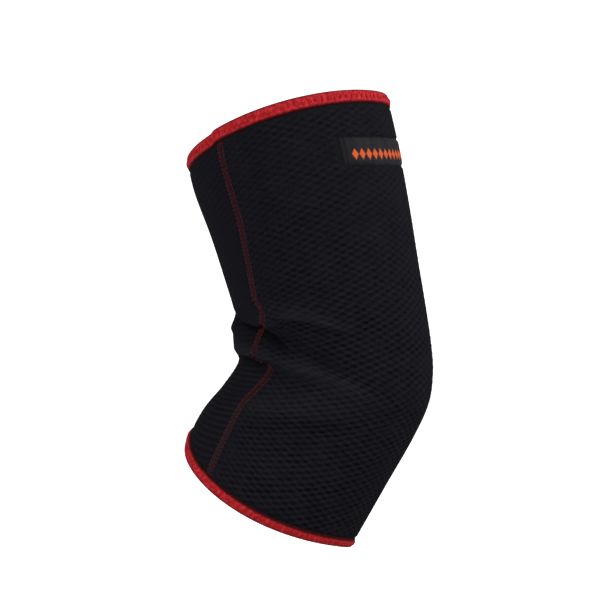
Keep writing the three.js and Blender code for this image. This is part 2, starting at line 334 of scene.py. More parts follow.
def node_adder(tree):
    """A function that adds a node to a tree, with its settings and its inputs' values or wires, and returns
    the wire of one output, or of each of several."""
    def add(kind, inputs=None, out=0, **settings):
        node = tree.nodes.new(kind)
        for name, value in settings.items():
            setattr(node, name, value)
        for key, value in (inputs or {}).items():
            if isinstance(value, Wire):
                tree.links.new(value.socket, node.inputs[key])
            else:
                node.inputs[key].default_value = value
        if isinstance(out, tuple):
            return [Wire(add, node.outputs[key]) for key in out]
        return Wire(add, node.outputs[out])
    return add


def mixed(share, first, second):
    return share.add("ShaderNodeMix", {0: share, 6: first, 7: second}, 2, data_type="RGBA")


def noise(place, scale, detail):
    return place.add("ShaderNodeTexNoise", {"Vector": place, "Scale": scale, "Detail": detail}, "Fac")


def stretched(tone, low, high):
    """A tone stretched so that it runs from 0 at the low value to 1 at the high one."""
    return tone.add("ShaderNodeMapRange", {"Value": tone, "From Min": low, "From Max": high}, "Result")


def told(add, mark):
    """What the mesh says at each point."""
    return add("ShaderNodeAttribute", out="Fac", attribute_name=mark)


def new_material(name, roughness, specular):
    """A node material and a function that adds nodes to it."""
    material = bpy.data.materials.new(name)
    material.use_nodes = True
    shader = material.node_tree.nodes["Principled BSDF"]
    shader.inputs["Roughness"].default_value = roughness
    shader.inputs["Specular IOR Level"].default_value = specular
    return material, node_adder(material.node_tree)


def cloth_place(add):
    """The cloth's own places in millimetres, whole and as distances across and along it."""
    place = add("ShaderNodeUVMap", out="UV", uv_map="cloth")
    return place, *add("ShaderNodeSeparateXYZ", {0: place}, ("X", "Y"))


def finish_cloth(material, colour, weave, strength, depth):
    """Gives a material its colour, and its weave as a relief with a depth in millimetres."""
    relief = {"Height": weave, "Strength": strength, "Distance": depth * MM}
    shader = material.node_tree.nodes["Principled BSDF"]
    for wire, socket in ((weave.add("ShaderNodeBump", relief, "Normal"), "Normal"), (colour, "Base Color")):
        material.node_tree.links.new(wire.socket, shader.inputs[socket])
    return material


YARN_WALE = 1.3
YARN_COURSE = 0.95
YARN_WANDER = 5.0
YARN_LOOP_RELIEF = 0.35
YARN_FUZZ = 2.2
LOOP_SPECKLE = 0.85
CLOTH_PATCHES = 0.08
RAISED_HIGHLIGHT = 0.14
TONE_OF_FUZZ = 0.2
TONE_OF_SPECKLE = 0.45
TONE_OF_PATCHES = 0.2
KNIT_TONES = (0.35, 0.65)
# Painted shade in the creases, moved a little down under the knee roll:
KNEE_SHADE_DROP = 0.16
KNEE_SHADE_ROWS = (6.2, 6.5)
CREASE_DARK_DEPTH = -3.8
CREASE_SHADE_POWER = 3.0
CREASE_SHADE_MOST = 0.85
CREASE_SHADE_COLOUR = (0.0024, 0.0022, 0.0032, 1)
# Painted highlight on the folds' ridges:
RIDGE_HIGHLIGHT_SHARE = 0.11
RIDGE_HIGHLIGHT_COLOUR = (0.027, 0.0255, 0.033, 1)


def knit_material(name, light_yarn, dark_yarn, hollow_shade):
    """Matt knitted yarn in uneven tones, with painted highlight on the raised loops and on the folds' ridges,
    and painted shade in the eyelets, between the ribs and in the creases, where the mesh marks them."""
    material, add = new_material(name, roughness=0.9, specular=0.03)
    place, across, along = cloth_place(add)
    wander = noise(place, scale=0.35, detail=2.0) * YARN_WANDER
    wale = (across * (2 * np.pi / YARN_WALE) + wander).maths("SINE")
    course = (along * (2 * np.pi / YARN_COURSE) + wale).maths("SINE")
    fuzz = noise(place, YARN_FUZZ, detail=4.0)
    # The raised loops and rib crests get a painted highlight in the tone.
    tone = told(add, "raised") * RAISED_HIGHLIGHT + fuzz * TONE_OF_FUZZ
    tone = tone + noise(place, LOOP_SPECKLE, detail=2.0) * TONE_OF_SPECKLE
    tone = tone + noise(place, CLOTH_PATCHES, detail=3.0) * TONE_OF_PATCHES
    colour = mixed(stretched(tone, *KNIT_TONES), dark_yarn, light_yarn)
    # Painted shade in the eyelets and between the ribs.
    colour = mixed(told(add, "sunk"), colour, hollow_shade)
    # Painted highlight on the folds' ridges, stronger the higher the fold.
    colour = mixed(told(add, "fold") * RIDGE_HIGHLIGHT_SHARE, colour, RIDGE_HIGHLIGHT_COLOUR)
    # Painted shade in the creases, darker the deeper the crease.
    depth = told(add, "crease").maths("MINIMUM", 0.0).maths("DIVIDE", CREASE_DARK_DEPTH)
    crease = depth.maths("POWER", CREASE_SHADE_POWER).maths("MINIMUM", CREASE_SHADE_MOST)
    yarn = wale * course * YARN_LOOP_RELIEF + fuzz
    return finish_cloth(material, mixed(crease, colour, CREASE_SHADE_COLOUR), yarn, strength=0.45, depth=0.4)


def piece_tree(name, sizes):
    """A node tree with an input for the piece it starts from and one for each size or material, a function
    that adds nodes, and the inputs' wires."""
    tree = bpy.data.node_groups.new(name, "GeometryNodeTree")
    tree.is_modifier = True
    kinds = {"Source": "Geometry"}
    for size, value in sizes.items():
        number = "Int" if isinstance(value, int) else "Float"
        kinds[size] = "Material" if isinstance(value, bpy.types.Material) else number
    for socket, kind in kinds.items():
        tree.interface.new_socket(socket, in_out="INPUT", socket_type="NodeSocket" + kind)
    tree.interface.new_socket("Made", in_out="OUTPUT", socket_type="NodeSocketGeometry")
    add = node_adder(tree)
    return tree, add, dict(zip(kinds, add("NodeGroupInput", out=tuple(kinds))))


def marked(add, name, kind="FLOAT_VECTOR"):
    return add("GeometryNodeInputNamedAttribute", {"Name": name}, data_type=kind)


def finish_tree(tree, add, parts, material):
    joined = add("GeometryNodeJoinGeometry")
    for part in parts:
        tree.links.new(part.socket, joined.socket.node.inputs[0])
    realized = add("GeometryNodeRealizeInstances", {0: joined})
    smooth = add("GeometryNodeSetShadeSmooth", {0: realized})
    painted = add("GeometryNodeSetMaterial", {"Geometry": smooth, "Material": material})
    add("NodeGroupOutput", {0: painted}, out=())
    return tree


def run_tree(piece, tree, sizes):
    """Runs a node tree on a piece, and returns the result as a plain mesh."""
    modifier = piece.modifiers.new(tree.name, "NODES")
    modifier.node_group = tree
    for socket in tree.interface.items_tree:
        if socket.in_out == "INPUT" and socket.name in sizes:
            modifier[socket.identifier] = sizes[socket.name]
    made = piece.evaluated_get(bpy.context.evaluated_depsgraph_get())
    mesh = bpy.data.meshes.new_from_object(made)
    piece.modifiers.remove(modifier)
    return mesh


def knit_face(tree, add, given, lift, marks):
    """Ends a knit tree: the face moves along its normals, and the mesh keeps what its yarn has to know."""
    offset = add("GeometryNodeInputNormal").scaled(lift)
    face = add("GeometryNodeSetPosition", {"Geometry": given["Source"], "Offset": offset})
    for mark, value in marks.items():
        face = add("GeometryNodeStoreNamedAttribute", {"Geometry": face, "Name": mark, "Value": value})
    return finish_tree(tree, add, [face], given["Yarn"])


def patchy_strength(add, given, pitches):
    """How clearly the knit shows at each point, which waxes and wanes in patches."""
    patch = noise(pitches, given["Patch Scale"], detail=1.0) - 0.5
    return marked(add, "clear", "FLOAT") * (patch * given["Patchiness"] + 1.0)


def eyelet_tree(sizes):
    """Staggered sunken eyelets and the puffs between them, which also tell the yarn where to paint shade and
    highlight. The panel's points carry their places in pitches.
    """
    tree, add, given = piece_tree("eyelet knit", sizes)
    pitches = marked(add, "pitches")
    clear = patchy_strength(add, given, pitches)
    size = add("ShaderNodeCombineXYZ", {0: given["Eyelet Width"], 1: given["Eyelet Height"]})
    holes = []
    for shift in (0.0, 0.5):
        moved = pitches.vector("ADD", (0.5 - shift, 0.5 - shift, 0.0))
        cell = moved.vector("FLOOR")
        shuffled = {"Vector": cell.vector("ADD", (0.0, 0.0, shift)), "W": given["Seed"]}
        places, chance = add("ShaderNodeTexWhiteNoise", shuffled, ("Color", "Value"), noise_dimensions="4D")
        drift = places.vector("SUBTRACT", (0.5, 0.5, 0.5)).scaled(given["Drift"])
        off_middle = moved.vector("SUBTRACT", cell).vector("SUBTRACT", (0.5, 0.5, 0.0))
        off_middle = off_middle.vector("ADD", drift).vector("DIVIDE", size)
        hole = (off_middle.vector("DOT_PRODUCT", off_middle, "Value") * -1.0).maths("EXPONENT")
        holes.append(hole * ((chance - 0.5) * given["Unevenness"] + 1.0))
    across, along = add("ShaderNodeSeparateXYZ", {0: pitches.scaled(2 * np.pi)}, ("X", "Y"))
    # The eyelets and the puffs also mark where the yarn gets painted shade and painted highlight.
    raised = across.maths("COSINE") * along.maths("COSINE") * -1.0 * clear
    sunk = (holes[0] + holes[1]) * clear
    lift = raised * given["Puff Height"] - sunk * given["Eyelet Depth"]
    return knit_face(tree, add, given, lift, {"sunk": sunk, "raised": raised})


SEAM_HALF_GAP = 0.05
SEAM_DIP = 0.9
SEAM_DIP_WIDTH = 1.7
MEAN_RADIUS = 62.0
GRID_PASSES = 2


def length_shares(points):
    """How far along its column each point of a grid lies, as a share of the column's length."""
    length = np.cumsum(np.linalg.norm(np.diff(points, axis=0), axis=-1), axis=0)
    return np.concatenate([length[:1] * 0, length]) / length[-1]


def panel_grid(middle, line_angle, columns, rows):
    """Angles, rows and shares from seam to seam of a panel whose middle is at an angle. The rows close up
    where the folds take up more cloth."""
    def angle_at(row):
        return middle + share * (np.abs(middle - seam_angle(row)) - SEAM_HALF_GAP)

    share = np.linspace(-1, 1, columns + 1)[None, :]
    level = even_rows(line_angle, rows)[:, None] / LAST_ROW
    row = level * LAST_ROW + share * 0
    for _ in range(GRID_PASSES):
        angle = angle_at(row)
        top = row_from_top(angle, CUT_INSET)
        row = top + (row_from_bottom(angle, CUT_INSET) - top) * level
    smooth = length_shares(skin(angle, row))
    folded = length_shares(off_skin(angle, row, fold_height(angle, row)))
    row = np.stack([np.interp(smooth[:, k], folded[:, k], row[:, k]) for k in range(columns + 1)], axis=1)
    return angle_at(row), row, share


def seam_distance(angle, row):
    """How far a place is from the nearest seam, in millimetres."""
    return np.radians(np.abs(from_front(angle) - seam_angle(row))) * MEAN_RADIUS


def panel_piece(name, angle, row, drawn_in, marks, uv, make_tree, sizes):
    """A panel's wall with its folds and dips, and with the knit of its face made by a tree. Its yarn is told
    the folds' heights and where the creases are, for painted highlight on ridges and painted shade in
    creases.
    The knee crease's painted shade sits a little lower, under the roll that hangs over it."""
    pinch = PINCH_EACH_FACE * tape_pinch(angle, row)
    dip = SEAM_DIP * bell(seam_distance(angle, row), SEAM_DIP_WIDTH)
    fold = fold_height(angle, row)
    outer = off_skin(angle, row, fold - drawn_in - dip - pinch)
    inner = off_skin(angle, row, INNER_FOLLOW * fold - WALL + pinch)[::INNER_STEP, ::INNER_STEP]
    # Painted shade follows the deepest single fold, and under the knee roll it moves a little down, as the
    # roll's shadow.
    lowered = row - KNEE_SHADE_DROP * blend(row, *KNEE_SHADE_ROWS)
    crease = np.minimum(fold, each_fold(angle, lowered).min(axis=0))
    piece = wall_piece(name, outer, inner, uv, {**marks, "fold": fold, "crease": crease})
    bare = piece.data
    piece.data = run_tree(piece, make_tree(sizes), sizes)
    bpy.data.meshes.remove(bare)
    return piece


# The label's bed is where the main panel stays smooth and is drawn in by the label's stitches.
LABEL_HEIGHT = 16.6
LABEL_START_ANGLE = 68.0
LABEL_END_ANGLE = -6.0
LABEL_START_ROW = 0.95
LABEL_END_ROW = 0.81
LABEL_SAG_ROWS = 0.07
LABEL_ROW_STEP = 0.5
LABEL_BED_EDGE = 1.5
LABEL_BED_DIP = 0.5
LABEL_BED_DEPTH = 0.5


def label_top(share):
    """The row of the label's upper edge, from its end at share 0 to its start at share 1."""
    sag = 4 * LABEL_SAG_ROWS * share * (1 - share)
    return LABEL_END_ROW + (LABEL_START_ROW - LABEL_END_ROW) * share + sag


def label_distance(angle, row):
    """How far outside the label's outline a place is, in millimetres, and below 0 inside it."""
    share = (angle - LABEL_END_ANGLE) / (LABEL_START_ANGLE - LABEL_END_ANGLE)
    top = label_top(np.clip(share, 0, 1))
    down = (row - top) * row_length(angle, top, LABEL_ROW_STEP)
    half_angle = (LABEL_START_ANGLE - LABEL_END_ANGLE) / 2
    beside = np.radians(np.abs(angle - LABEL_END_ANGLE - half_angle) - half_angle) * MEAN_RADIUS
    beyond = np.abs(down - LABEL_HEIGHT / 2) - LABEL_HEIGHT / 2
    outside = np.hypot(np.maximum(beside, 0), np.maximum(beyond, 0))
    return outside + np.minimum(np.maximum(beside, beyond), 0)


def label_dip(angle, row):
    """How far the label presses the cloth in, and its stitches draw it in along the edges, in millimetres."""
    distance = label_distance(angle, row)
    pressed = LABEL_BED_DEPTH * (1 - blend(distance, 0, LABEL_BED_EDGE))
    return pressed + LABEL_BED_DIP * bell(distance, LABEL_BED_EDGE)


EYELETS_ROUND = 34
EYELET_ROWS = 66
EYELET_PITCH_ROUND = 8.5
EYELET_PITCH_ALONG = 4.05
EYELET_HALF_WIDTH = 1.25
EYELET_HALF_HEIGHT = 0.68
EYELET_DEPTH = 0.52
PUFF_HEIGHT = 0.2
EYELET_UNEVENNESS = 1.1
EYELET_DRIFT = 0.2
EYELET_PATCH_SCALE = 0.35
EYELET_PATCHINESS = 1.6
EYELET_SEED = 11
FACETS_PER_EYELET = 6
EYELET_CLEAR_OF_SEAM = (1.2, 3.0)
EYELET_FAINT_ROWS = (1.0, 5.0)
EYELET_FAINT_STRENGTH = 0.55
EYELET_FAINT_FROM_SEAM = 30.0
EYELET_FAINT_FRONT = (5.0, 65.0)
MAIN_LINE_ANGLE = 60.0
MAIN_LIGHT_YARN = (0.0170, 0.0160, 0.0210, 1)
MAIN_DARK_YARN = (0.0075, 0.0070, 0.0096, 1)
# The colour of the painted shade in the eyelets:
MAIN_EYELET_SHADE = (0.0034, 0.0031, 0.0046, 1)

angle, row, share = panel_grid(
    0, MAIN_LINE_ANGLE, EYELETS_ROUND * FACETS_PER_EYELET, EYELET_ROWS * FACETS_PER_EYELET)
across = (share + 1) / 2 * EYELETS_ROUND + row * 0
along = np.linspace(0, EYELET_ROWS, row.shape[0])[:, None] + row * 0
from_seam = seam_distance(angle, row)
clear = blend(from_seam, *EYELET_CLEAR_OF_SEAM) * blend(label_distance(angle, row), 0, LABEL_BED_EDGE)
clear = clear * (1 - tape_pinch(angle, row))
for faint in (blend(row, *EYELET_FAINT_ROWS), blend(from_seam, 0, EYELET_FAINT_FROM_SEAM),
              blend(np.abs(angle), *EYELET_FAINT_FRONT)):
    clear = clear * (EYELET_FAINT_STRENGTH + (1 - EYELET_FAINT_STRENGTH) * faint)
main_panel = panel_piece(
    "knit_main_panel", angle, row, label_dip(angle, row),
    {"pitches": np.stack([across, along, along * 0], axis=-1), "clear": clear},
    np.stack([across * EYELET_PITCH_ROUND, along * EYELET_PITCH_ALONG], axis=-1),
    eyelet_tree,
    {
        "Seed": EYELET_SEED,
        "Eyelet Depth": EYELET_DEPTH * MM,
        "Eyelet Width": EYELET_HALF_WIDTH / EYELET_PITCH_ROUND,
        "Eyelet Height": EYELET_HALF_HEIGHT / EYELET_PITCH_ALONG,
        "Puff Height": PUFF_HEIGHT * MM,
        "Unevenness": EYELET_UNEVENNESS,
        "Drift": EYELET_DRIFT,
        "Patch Scale": EYELET_PATCH_SCALE,
        "Patchiness": EYELET_PATCHINESS,
        "Yarn": knit_material("black eyelet knit", MAIN_LIGHT_YARN, MAIN_DARK_YARN, MAIN_EYELET_SHADE),
    })
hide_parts("main_panel")
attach(main_panel, "root")

# Back panel
# The strip behind the knee, in a finer knit with soft ribs across it below the knee. It is sewn edge to edge
# with the main panel, and it bunches up in rolls where the leg bends.

BACK_FACETS_ACROSS = 78
RIB_PITCH = 3.2
RIB_COUNT = 62
FACETS_PER_RIB = 6
RIB_HEIGHT = 0.045
RIB_PATCH_SCALE = 0.35
RIB_PATCHINESS = 3.0
RIB_FADE_ROWS = (4.0, 8.0)
RIB_FAINT_STRENGTH = 0.25
RIB_SMILE = -3.0
BACK_LINE_ANGLE = 150.0
BACK_WIDTH = 100.0
BACK_LIGHT_YARN = (0.0138, 0.0130, 0.0172, 1)
BACK_DARK_YARN = (0.0072, 0.0067, 0.0092, 1)
# The colour of the painted shade between the ribs:
BACK_TROUGH_SHADE = (0.0066, 0.0061, 0.0083, 1)


def rib_tree(sizes):
    """Soft ribs across a panel whose points carry their places in rib pitches."""
    tree, add, given = piece_tree("rib knit", sizes)
    pitches = marked(add, "pitches")
    along = add("ShaderNodeSeparateXYZ", {0: pitches.scaled(2 * np.pi)}, "Y")
    rib = along.maths("COSINE") * patchy_strength(add, given, pitches)
    # The troughs between the ribs get painted shade, and their crests get painted highlight.
    sunk = (rib * -1.0).maths("MAXIMUM", 0.0)
    return knit_face(tree, add, given, rib * given["Rib Height"], {"sunk": sunk, "raised": rib})


angle, row, share = panel_grid(180, BACK_LINE_ANGLE, BACK_FACETS_ACROSS, RIB_COUNT * FACETS_PER_RIB)
across = share / 2 * BACK_WIDTH + row * 0
along = np.linspace(0, RIB_COUNT, row.shape[0])[:, None] + row * 0
rib_place = along + RIB_SMILE * (1 - share ** 2)
clear = RIB_FAINT_STRENGTH + (1 - RIB_FAINT_STRENGTH) * blend(row, *RIB_FADE_ROWS)
clear = clear * (1 - tape_pinch(angle, row))
back_panel = panel_piece(
    "knit_back_panel", angle, row, row * 0,
    {"pitches": np.stack([across / RIB_PITCH, rib_place, row * 0], axis=-1), "clear": clear},
    np.stack([across, along * RIB_PITCH], axis=-1),
    rib_tree,
    {
        "Rib Height": RIB_HEIGHT * MM,
        "Patch Scale": RIB_PATCH_SCALE,
        "Patchiness": RIB_PATCHINESS,
        "Yarn": knit_material("black ribbed knit", BACK_LIGHT_YARN, BACK_DARK_YARN, BACK_TROUGH_SHADE),
    })
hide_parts("back_panel")
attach(back_panel, "root")

# Seams
# Each seam joins the two panels edge to edge with red thread: two rows of short straight stitches, and a
# finer thread that zigzags between them over the cut edges. Both ends run under the bindings.

SEAM_ROW_SPACING = 3.7
SEAM_STITCH_PITCH = 2.4
SEAM_STITCH_LENGTH = 2.1
SEAM_THREAD_RADIUS = 0.36
SEAM_COVER_RADIUS = 0.24
SEAM_COVER_TURNS = 2
SEAM_COVER_SIDES = 6
POINTS_PER_COVER_TURN = 4
SEAM_LIFT = 0.5
SEAM_END_INSET = 2.3
SEAM_POINTS = 700
SEAM_THREAD_LIGHT = (0.115, 0.009, 0.016, 1)
SEAM_THREAD_DARK = (0.048, 0.006, 0.011, 1)
SEAM_THREAD_WORN = (0.035, 0.016, 0.019, 1)
SEAM_WORN_ROWS = (7.5, 9.0)
SEAM_WORN_SHARE = 0.65
STITCH_SEGMENTS = 10
STITCH_RINGS = 7
TONE_OF_PLIES = 0.55
THREAD_TONES = (0.37, 0.63)


def thread_material(name, light, dark, roughness, worn=None):
    """Twisted sewing thread, uneven in tone from stitch to stitch and dull where the mesh says worn."""
    material, add = new_material(name, roughness, specular=0.2)
    place = add("ShaderNodeTexCoord", out="Object")
    plies, stitches = noise(place, scale=420.0, detail=2.0), noise(place, scale=70.0, detail=1.0)
    tone = plies * TONE_OF_PLIES + stitches * (1 - TONE_OF_PLIES)
    colour = mixed(stretched(tone, *THREAD_TONES) - told(add, "cover"), dark, light)
    if worn:
        colour = mixed(told(add, "worn"), colour, worn)
    return finish_cloth(material, colour, noise(place, scale=2500.0, detail=2.0), strength=0.4, depth=0.2)


def straight_stitches(add, line, stitch):
    """Copies of a stitch on a line's points, along the line and flat on the cloth."""
    turned = add("FunctionNodeAlignRotationToVector", {"Vector": add("GeometryNodeInputTangent")}, axis="X")
    turned = add("FunctionNodeAlignRotationToVector", {"Rotation": turned, "Vector": marked(add, "out")},
                 axis="Z", pivot_axis="X")
    return add("GeometryNodeInstanceOnPoints", {"Points": line, "Instance": stitch, "Rotation": turned})


def one_stitch(add, length, radius, slant):
    """A stitch is a short thread that dives into the cloth at both ends."""
    ball = add("GeometryNodeMeshUVSphere", {"Segments": STITCH_SEGMENTS, "Rings": STITCH_RINGS})
    size = add("ShaderNodeCombineXYZ", {0: length * 0.5, 1: radius, 2: radius})
    turn = add("ShaderNodeCombineXYZ", {2: slant})
    return add("GeometryNodeTransform", {"Geometry": ball, "Scale": size, "Rotation": turn})


def seam_tree(sizes):
    """Two rows of straight stitches along a guide, and a thinner thread that zigzags between them."""
    tree, add, given = piece_tree("two row seam", sizes)
    out, across = marked(add, "out"), marked(add, "across")
    guide = add("GeometryNodeMeshToCurve", {0: given["Source"]})
    line = add("GeometryNodeResampleCurve", {"Curve": guide, "Count": given["Stitch Count"]})
    side = given["Row Spacing"] * 0.5
    lifted = out.scaled(given["Lift"])
    stitch = one_stitch(add, given["Stitch Length"], given["Thread Radius"], 0.0)
    parts = []
    for way in (-1, 1):
        offset = across.scaled(side * way).vector("ADD", lifted)
        moved = add("GeometryNodeSetPosition", {"Geometry": line, "Offset": offset})
        parts.append(straight_stitches(add, moved, stitch))
    points = given["Stitch Count"] * given["Cover Turns"] * POINTS_PER_COVER_TURN
    fine = add("GeometryNodeResampleCurve", {"Curve": guide, "Count": points})
    turn = add("GeometryNodeInputIndex") * (2 * np.pi / POINTS_PER_COVER_TURN)
    aside = across.scaled(side * turn.maths("SINE"))
    raised = out.scaled(turn.maths("COSINE").maths("ABSOLUTE") * given["Cover Radius"]).vector("ADD", lifted)
    zigzag = add("GeometryNodeSetPosition", {"Geometry": fine, "Offset": aside.vector("ADD", raised)})
    profile = add("GeometryNodeCurvePrimitiveCircle",
                  {"Resolution": SEAM_COVER_SIDES, "Radius": given["Cover Radius"]})
    cover = add("GeometryNodeCurveToMesh", {"Curve": zigzag, "Profile Curve": profile, "Fill Caps": True})
    parts.append(add("GeometryNodeStoreNamedAttribute", {"Geometry": cover, "Name": "cover", "Value": 1.0}))
    return finish_tree(tree, add, parts, given["Thread"])


def stitched_piece(name, make_tree, points, marks, closed, sizes):
    """Runs a stitch tree along a guide line that carries marks, and keeps the result as a plain mesh."""
    count = len(points)
    edges = [(k, (k + 1) % count) for k in range(count if closed else count - 1)]
    guide_mesh = marked_mesh(name + "_guide", points, edges, [], marks)
    guide = placed(name + "_guide", guide_mesh)
    sewn = run_tree(guide, make_tree(sizes), sizes)
    bpy.data.objects.remove(guide)
    bpy.data.meshes.remove(guide_mesh)
    return placed(name, sewn)


def line_length(points):
    """The length of a line of points, in millimetres."""
    return float(np.linalg.norm(np.diff(points, axis=0), axis=1).sum()) / MM


seam_thread = thread_material("red seam thread", SEAM_THREAD_LIGHT, SEAM_THREAD_DARK,
                              roughness=0.6, worn=SEAM_THREAD_WORN)
row = np.linspace(row_from_top(seam_angle(0), SEAM_END_INSET),
                  row_from_bottom(seam_angle(LAST_ROW), SEAM_END_INSET), SEAM_POINTS)
for name, side in (("label_side_seam", 1), ("far_side_seam", -1)):
    angle = side * seam_angle(row)
    pinch = PINCH_EACH_FACE * tape_pinch(angle, row)
    points = off_skin(angle, row, fold_height(angle, row) - SEAM_DIP - pinch)
    out = skin_normal(angle, row)
    marks = {
        "out": out,
        "across": unit(np.cross(out, np.gradient(points, axis=0))),
        "worn": SEAM_WORN_SHARE * blend(row, *SEAM_WORN_ROWS),
    }
    seam = stitched_piece(name, seam_tree, points, marks, False, {
        "Stitch Count": round(line_length(points) / SEAM_STITCH_PITCH),
        "Row Spacing": SEAM_ROW_SPACING * MM,
        "Stitch Length": SEAM_STITCH_LENGTH * MM,
        "Thread Radius": SEAM_THREAD_RADIUS * MM,
        "Cover Radius": SEAM_COVER_RADIUS * MM,
        "Cover Turns": SEAM_COVER_TURNS,
        "Lift": SEAM_LIFT * MM,
        "Thread": seam_thread,
    })
    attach(seam, "root")

# Bindings
# Each end is bound with a soft red tape that is folded in half over the cut edge and sewn through from
# outside to inside. The stitches pull small dents along the middle of the tape.

TAPE_FACE = 0.1
TAPE_FACE_INSIDE = -2.8
TAPE_LINING = -0.55
TAPE_LINING_INSIDE = -2.45
TAPE_NOSE = 1.0
TAPE_FOLD_INSET = 0.6
TAPE_CROWN = 0.45
TAPE_EDGE_CURL = 0.5
TAPE_EDGE_CURL_WIDTH = 1.8
TAPE_FLANGE_POINTS = 14
TAPE_NOSE_POINTS = 9
TAPE_INSIDE_POINTS = 5
FINE_ANGLES = 1441
TAPE_STITCH_PITCH = 4.0
TAPE_STITCH_INSET = 0.42
TAPE_STITCH_LIFT = 0.55
TAPE_DENT = 0.3
TAPE_DENT_HALF_WIDTH = 0.95
TAPE_DENT_HALF_HEIGHT = 1.4
TAPE_DENT_SHADE = 0.15
TAPE_EDGE_SHADE_WIDTH = 1.5
TAPE_EDGE_SHADE_POWER = 4
TAPE_RIM_SHADE_WIDTH = 1.1
TAPE_RIM_SHADE = 0.9
TAPE_STITCH_LENGTH = 2.7
TAPE_THREAD_RADIUS = 0.7
TAPE_STITCH_SLANT = 1.25
FACETS_PER_STITCH = 6
TAPE_LIGHT = (0.70, 0.036, 0.044, 1)
TAPE_DARK = (0.26, 0.004, 0.008, 1)
# The colour of the painted shade on the tape:
TAPE_SHADE_COLOUR = (0.03, 0.0003, 0.0008, 1)
TAPE_THREAD_LIGHT = (0.54, 0.003, 0.009, 1)
TAPE_THREAD_DARK = (0.36, 0.002, 0.006, 1)
RIB_OF_TAPE = 0.8
TAPE_RIB_WANDER = 3.0
TAPE_RIB_RELIEF = 0.3
TONE_OF_TAPE_WEAVE = 0.25
TAPE_TONES = (0.33, 0.67)
TOP_TAPE_FLAT = (0.019, 0.4)
BOTTOM_TAPE_FLAT = (0.015, 0.37)


def tape_material():
    """Soft mottled stretch tape with fine cross ribs. Painted shade darkens it along its inner edge, on the
    rim and in its dents.
    """
    material, add = new_material("red binding tape", roughness=0.8, specular=0.1)
    place, across, _ = cloth_place(add)
    wander = noise(place, scale=0.6, detail=2.0) * TAPE_RIB_WANDER
    ribs = (across * (2 * np.pi / RIB_OF_TAPE) + wander).maths("SINE")
    weave = ribs * TAPE_RIB_RELIEF + noise(place, scale=2.5, detail=4.0)
    mottle = noise(place, scale=0.45, detail=2.0)
    tone = weave * TONE_OF_TAPE_WEAVE + mottle * (1 - TONE_OF_TAPE_WEAVE)
    colour = mixed(stretched(tone, *TAPE_TONES), TAPE_DARK, TAPE_LIGHT)
    # Painted shade where the mesh marks it.
    return finish_cloth(material, mixed(told(add, "sunk"), colour, TAPE_SHADE_COLOUR), weave, strength=0.4, depth=0.3)


def tape_section(width):
    """Insets from the rim and offsets from the smooth face, from the tape's outer edge round its section."""
    middle = (TAPE_FACE + TAPE_FACE_INSIDE) / 2
    half = (TAPE_FACE - TAPE_FACE_INSIDE) / 2
    flange = np.linspace(width, TAPE_NOSE, TAPE_FLANGE_POINTS)
    curl = TAPE_EDGE_CURL * (1 - blend(width - flange, 0, TAPE_EDGE_CURL_WIDTH))
    crown = TAPE_CROWN * np.sin(np.pi * (flange - TAPE_NOSE) / (width - TAPE_NOSE))
    turn = np.linspace(0, np.pi, TAPE_NOSE_POINTS)[1:-1]
    inside = np.linspace(TAPE_NOSE, width, TAPE_INSIDE_POINTS)
    lining = [width, TAPE_FOLD_INSET, TAPE_FOLD_INSET, width]
    lining_offset = [TAPE_LINING_INSIDE, TAPE_LINING_INSIDE, TAPE_LINING, TAPE_LINING - TAPE_EDGE_CURL / 2]
    inset = np.concatenate([flange, TAPE_NOSE * (1 - np.sin(turn)), inside, lining])
    offset = np.concatenate([TAPE_FACE + crown - curl, middle + half * np.cos(turn),
                             np.full_like(inside, TAPE_FACE_INSIDE), lining_offset])
    return inset, offset


def ring_piece(name, points, girth, lengths, flipped, sunk, material):
    """A closed ring: the first axis of the points goes round the leg, the second round the tape's section."""
    ids = np.arange(points.shape[0] * points.shape[1]).reshape(points.shape[:2])
    beside, onward = np.roll(ids, -1, axis=0), np.roll(ids, -1, axis=1)
    faces = np.stack([ids, onward, np.roll(onward, -1, axis=0), beside], axis=-1).reshape(-1, 4)
    round_at = np.linspace(0, girth, points.shape[0] + 1)
    uv = np.stack(np.meshgrid(round_at, lengths, indexing="ij"), axis=-1)
    corners = np.stack([uv[:-1, :-1], uv[:-1, 1:], uv[1:, 1:], uv[1:, :-1]], axis=-2).reshape(-1, 4, 2)
    if flipped:
        faces, corners = faces[:, ::-1], corners[:, ::-1]
    mesh = marked_mesh(name, points, [], faces.tolist(), {"sunk": sunk})
    mesh.uv_layers.new(name="cloth").data.foreach_set("uv", corners.ravel().astype(np.float32))
    mesh.materials.append(material)
    return placed(name, mesh)


def running_tree(sizes):
    """Single stitches along a guide, each turned by the same slant."""
    tree, add, given = piece_tree("single stitches", sizes)
    guide = add("GeometryNodeMeshToCurve", {0: given["Source"]})
    line = add("GeometryNodeResampleCurve", {"Curve": guide, "Count": given["Stitch Count"]})
    lifted = marked(add, "out").scaled(given["Lift"])
    moved = add("GeometryNodeSetPosition", {"Geometry": line, "Offset": lifted})
    stitch = one_stitch(add, given["Stitch Length"], given["Thread Radius"], given["Slant"])
    return finish_tree(tree, add, [straight_stitches(add, moved, stitch)], given["Thread"])


binding_tape = tape_material()
tape_thread = thread_material("red binding thread", TAPE_THREAD_LIGHT, TAPE_THREAD_DARK, roughness=0.65)


